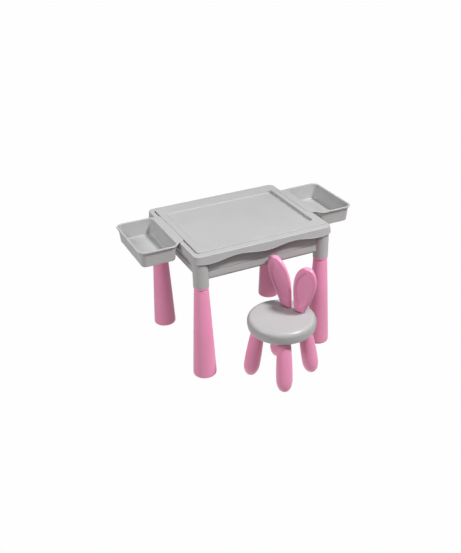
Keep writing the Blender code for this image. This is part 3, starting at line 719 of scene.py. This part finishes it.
def make_seat_base(centre, angles, material):
    """Underside cover with leaning sockets and a rounded edge."""
    low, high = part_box("seat_base")
    radius = (high.x - low.x) / 2
    profile = rounded_path([(0.0, low.z + WALL, 0.0), (radius, low.z + WALL, 0.0006),
                            (radius, low.z, 0.0008), (0.0, low.z, 0.0)], 3)
    base = turned("base_cover", profile, material, SEAT_SEGMENTS)
    cups, bores = [], []
    for angle in angles:
        for tools, extra, bottom, top in ((cups, 0.0035, low.z - 0.002, low.z + SOCKET_DEEP + WALL),
                                          (bores, GAP, low.z - 2 * PAST, low.z + SOCKET_DEEP)):
            reach = NECK_RADIUS + extra
            rod = turned("socket_tool", [(0.0, top), (reach, top), (reach, bottom), (0.0, bottom)],
                         material, STOOL_LEG_SEGMENTS)
            rod.matrix_world = leg_stand(angle, low.z)
            tools.append(rod)
    combine(base, cups, "UNION")
    trim = slab_tool("trim_tool", 0.2, low.z, material)
    combine(base, [trim] + bores, "DIFFERENCE")
    weigh(base)
    turn_mesh(base, STOOL_TURNED)
    place(base, centre, "seat_base", "stool")


def make_stool_leg(index, angle, centre, seat_low, material):
    """Bulbous leg: full belly, round foot with a small flat, neck in its socket."""
    node = "stool_leg_{}".format(index + 1)
    neck = seat_low - NECK_SHOWS
    top = seat_low + SOCKET_DEEP - 0.002
    profile = rounded_path([(0.0, top, 0.0), (NECK_RADIUS, top, 0.0015), (NECK_RADIUS, neck, 0.0)], 3)
    shoulder = BELLY + SHOULDER_HIGH
    for step in range(1, LEG_STEPS + 1):
        t = step / LEG_STEPS
        swell = math.sin(0.5 * math.pi * t) ** 1.2
        profile.append((NECK_RADIUS + (LEG_RADIUS - NECK_RADIUS) * swell, neck + (shoulder - neck) * t))
    for step in range(1, LEG_STEPS + 1):
        turn = 0.5 * math.pi * step / LEG_STEPS
        radius = LEG_RADIUS * math.cos(turn) ** 0.8 if step < LEG_STEPS else 0.0
        profile.append((radius, BELLY - (BELLY + FOOT_FLAT) * math.sin(turn)))
    leg = turned(node + "_shell", profile, material, STOOL_LEG_SEGMENTS)
    leg.matrix_world = leg_stand(angle, seat_low)
    combine(leg, [slab_tool("floor_tool", 0.3, 0.0, material)], "DIFFERENCE")
    weigh(leg)
    turn_mesh(leg, STOOL_TURNED @ leg.matrix_world)
    place(leg, centre, node, "stool")


def ear_half_width(t):
    """Half width at fraction t of the height: narrow foot, full middle, round tip."""
    if t <= EAR_WIDEST:
        swell = math.sin(0.5 * math.pi * t / EAR_WIDEST) ** 1.3
        return EAR_FOOT_WIDE + (EAR_WIDE - EAR_FOOT_WIDE) * swell
    return EAR_WIDE * math.sqrt(max(1.0 - ((t - EAR_WIDEST) / (1.0 - EAR_WIDEST)) ** 2.2, 0.0))


def make_ear(node, side, centre, seat_high, material):
    """Paddle with a thick round rim and a dished face towards the sitter."""
    low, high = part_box(node)
    foot = seat_high - EAR_RECESS + GAP
    rise = high.z - foot
    rings = []
    heights = [math.sin(0.5 * math.pi * level / EAR_LEVELS) for level in range(EAR_LEVELS)]
    for t in heights + [EAR_TOP]:
        half = max(ear_half_width(t), EAR_TIP_WIDE)
        thick = EAR_THICK * min(1.0, (half / EAR_THIN_FROM) ** 0.5)
        middle = side * (EAR_SPACING + EAR_SPREAD * t)
        ring = []
        for step in range(EAR_POINTS):
            angle = 2 * math.pi * step / EAR_POINTS
            across = math.copysign(abs(math.cos(angle)) ** 0.85, math.cos(angle))
            through = math.copysign(abs(math.sin(angle)) ** 0.75, math.sin(angle))
            reach = math.hypot(across / DISH_WIDE, (t - DISH_MIDDLE) / DISH_HIGH)
            dish = 0.0
            if through < 0 and reach < 1.0:
                wall = DISH_STEP * smoothstep(DISH_WALL, 1.0, reach)
                dish = EAR_DISH * (1 - wall - (1 - DISH_STEP) * reach ** 2)
            ring.append(Vector((EAR_RING + EAR_LEAN * t + through * thick / 2 + dish,
                                middle + side * across * half, foot + rise * t)))
        rings.append(ring)
    ear = loft(node + "_shell", rings, material)
    y = side * EAR_SPACING
    tongue = block("tongue_tool", (EAR_RING - TONGUE[0] / 2, y - TONGUE[1] / 2),
                   (EAR_RING + TONGUE[0] / 2, y + TONGUE[1] / 2), 0.003,
                   [(0.0, low.z), (0.0, foot + 0.006)], material, 4)
    combine(ear, [tongue], "UNION")
    weigh(ear)
    turn_mesh(ear, STOOL_TURNED)
    place(ear, centre, node, "stool")


def make_stool(grey, pink):
    """Seat, base, four legs and two ears round the middle of the seat."""
    low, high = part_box("seat_base")
    centre = Vector(((low.x + high.x) / 2, (low.y + high.y) / 2, 0.0))
    seat_low, seat_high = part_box("seat_top")
    angles = [math.radians(45.0 + 90.0 * quarter) for quarter in range(4)]
    make_seat(centre, grey)
    make_seat_base(centre, angles, grey)
    for index, angle in enumerate(angles):
        make_stool_leg(index, angle, centre, seat_low.z, pink)
    make_ear("ear_left", 1, centre, seat_high.z, pink)
    make_ear("ear_right", -1, centre, seat_high.z, pink)


# ---------------------------------------------------------------- studio

def make_room():
    """Pale floor and a round backdrop behind it, which the camera sees and the lighting ignores."""
    white = pale_white()
    ground = bmesh.new()
    bmesh.ops.create_circle(ground, cap_ends=True, radius=ROOM_RADIUS, segments=96)
    floor = make_object("studio_floor", ground, white)
    floor.location.z = -FLOOR_DROP
    dome = bmesh.new()
    bmesh.ops.create_uvsphere(dome, u_segments=96, v_segments=48, radius=ROOM_RADIUS)
    backdrop = make_object("studio_backdrop", dome, white)
    for stage in (floor, backdrop):
        stage.visible_diffuse = False
        stage.visible_glossy = False
        stage.visible_transmission = False
        stage.visible_shadow = False


def area_light(name, place_at, aim, size, power):
    """Round softbox that faces its aim."""
    data = bpy.data.lights.new(name, "AREA")
    data.shape = "DISK"
    data.size = size
    data.energy = power
    light = bpy.data.objects.new(name, data)
    bpy.context.scene.collection.objects.link(light)
    light.location = place_at
    light.rotation_euler = (Vector(place_at) - Vector(aim)).to_track_quat("Z", "Y").to_euler()


def make_lights(centre):
    """Two keys from the front right, weak fills round the rest, and a world that lights from below."""
    aim = (centre.x, centre.y + LIGHTS_AIM[0], LIGHTS_AIM[1])
    for name, offset, size, power in SOFTBOXES:
        place_at = (centre.x + offset[0], centre.y + offset[1], offset[2])
        area_light(name, place_at, aim, size, power)
    world = bpy.data.worlds.new("studio_world")
    world.use_nodes = True
    nodes = world.node_tree.nodes
    links = world.node_tree.links
    direction = nodes.new("ShaderNodeTexCoord")
    split = nodes.new("ShaderNodeSeparateXYZ")
    height = nodes.new("ShaderNodeMapRange")
    height.inputs["From Min"].default_value = -1.0
    height.inputs["From Max"].default_value = 1.0
    ramp = nodes.new("ShaderNodeValToRGB")
    for up, _ in FLOOR_BOUNCE[1:-1]:
        ramp.color_ramp.elements.new((up + 1.0) / 2)
    for stop, (up, strength) in zip(ramp.color_ramp.elements, FLOOR_BOUNCE):
        stop.color = (*[strength * part for part in BOUNCE_TINT], 1.0)
    links.new(direction.outputs["Generated"], split.inputs[0])
    links.new(split.outputs["Z"], height.inputs["Value"])
    links.new(height.outputs["Result"], ramp.inputs["Fac"])
    links.new(ramp.outputs["Color"], nodes["Background"].inputs["Color"])
    bpy.context.scene.world = world


def make_camera(centre):
    """Camera on a line from its aim, rolled about that line."""
    azimuth, elevation, roll = (math.radians(v) for v in (CAMERA_AZIMUTH, CAMERA_ELEVATION, CAMERA_ROLL))
    back = Vector((math.sin(azimuth) * math.cos(elevation), -math.cos(azimuth) * math.cos(elevation),
                   math.sin(elevation)))
    level = Vector((math.cos(azimuth), math.sin(azimuth), 0.0))
    upright = back.cross(level)
    right = level * math.cos(roll) + upright * math.sin(roll)
    up = upright * math.cos(roll) - level * math.sin(roll)
    data = bpy.data.cameras.new("photo_camera")
    data.sensor_width = 36.0
    data.lens = CAMERA_LENS
    data.clip_end = 100.0
    camera = bpy.data.objects.new("photo_camera", data)
    bpy.context.scene.collection.objects.link(camera)
    turn = Matrix((right, up, back)).transposed().to_4x4()
    camera.matrix_world = Matrix.Translation(centre + Vector(CAMERA_AIM) + back * CAMERA_DISTANCE) @ turn
    bpy.context.scene.camera = camera


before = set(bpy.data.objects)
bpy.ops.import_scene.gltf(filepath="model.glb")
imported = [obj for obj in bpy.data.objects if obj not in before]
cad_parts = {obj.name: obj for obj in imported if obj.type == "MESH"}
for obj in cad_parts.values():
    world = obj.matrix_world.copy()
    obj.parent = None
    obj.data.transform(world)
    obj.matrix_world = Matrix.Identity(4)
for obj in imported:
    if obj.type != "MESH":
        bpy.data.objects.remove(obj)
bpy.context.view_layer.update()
grey_plastic = moulded_plastic("grey_moulded_plastic", GREY, 0.40, 0.35)
seat_plastic = moulded_plastic("seat_moulded_plastic", GREY, 0.35, 0.08)
pink_plastic = moulded_plastic("pink_moulded_plastic", PINK, 0.30, 0.25)

datum = table_datum()
make_rim(datum, grey_plastic)
make_board(datum, grey_plastic)
make_storage_box(datum, grey_plastic)
for post in post_places():
    make_post(post, grey_plastic)
    make_leg(post, pink_plastic)
    make_cap(post, pink_plastic)
make_tray("tray_left", "left_tray", -1, datum, grey_plastic)
make_tray("tray_right", "right_tray", 1, datum, grey_plastic)
make_stool(seat_plastic, pink_plastic)

make_room()
make_lights(datum["centre"])
make_camera(datum["centre"])
bpy.context.scene.view_settings.view_transform = "Standard"
